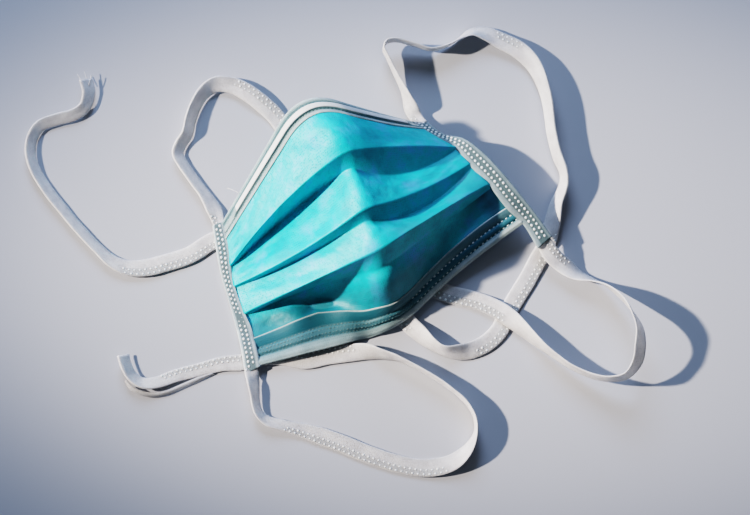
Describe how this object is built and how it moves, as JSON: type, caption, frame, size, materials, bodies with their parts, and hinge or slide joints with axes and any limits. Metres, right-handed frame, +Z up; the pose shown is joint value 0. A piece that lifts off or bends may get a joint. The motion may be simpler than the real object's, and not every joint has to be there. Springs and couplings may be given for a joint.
{
  "type": "surgical face mask",
  "caption": "Pleated tie-on surgical face mask with a white hem along each long edge, a nose wire, welded side bindings and flat tapes, lying half open on a surface.",
  "frame": {"origin": "on the surface the mask lies on, under the middle of the mask without its ties", "axes": "+Z up from the surface; +X to the right of the picture; the mask's length lies 26 degrees from +X towards +Y; the nose edge is on the +Y side"},
  "size_m": [0.3391, 0.2496, 0.0505],
  "materials": {
    "teal_cloth": "matt nonwoven",
    "white_cloth": "matt nonwoven",
    "white_tape": "matt nonwoven",
    "wire": "plastic coated wire"
  },
  "bodies": {
    "root": {"filter_panel": "teal_cloth", "top_hem": "white_cloth", "nose_wire": "wire", "bottom_hem": "white_cloth", "left_binding": "white_tape", "right_binding": "white_tape", "tie_top_left": "white_tape", "tie_bottom_left": "white_tape", "tie_top_right": "white_tape", "tie_bottom_right": "white_tape"}
  },
  "joints": []
}
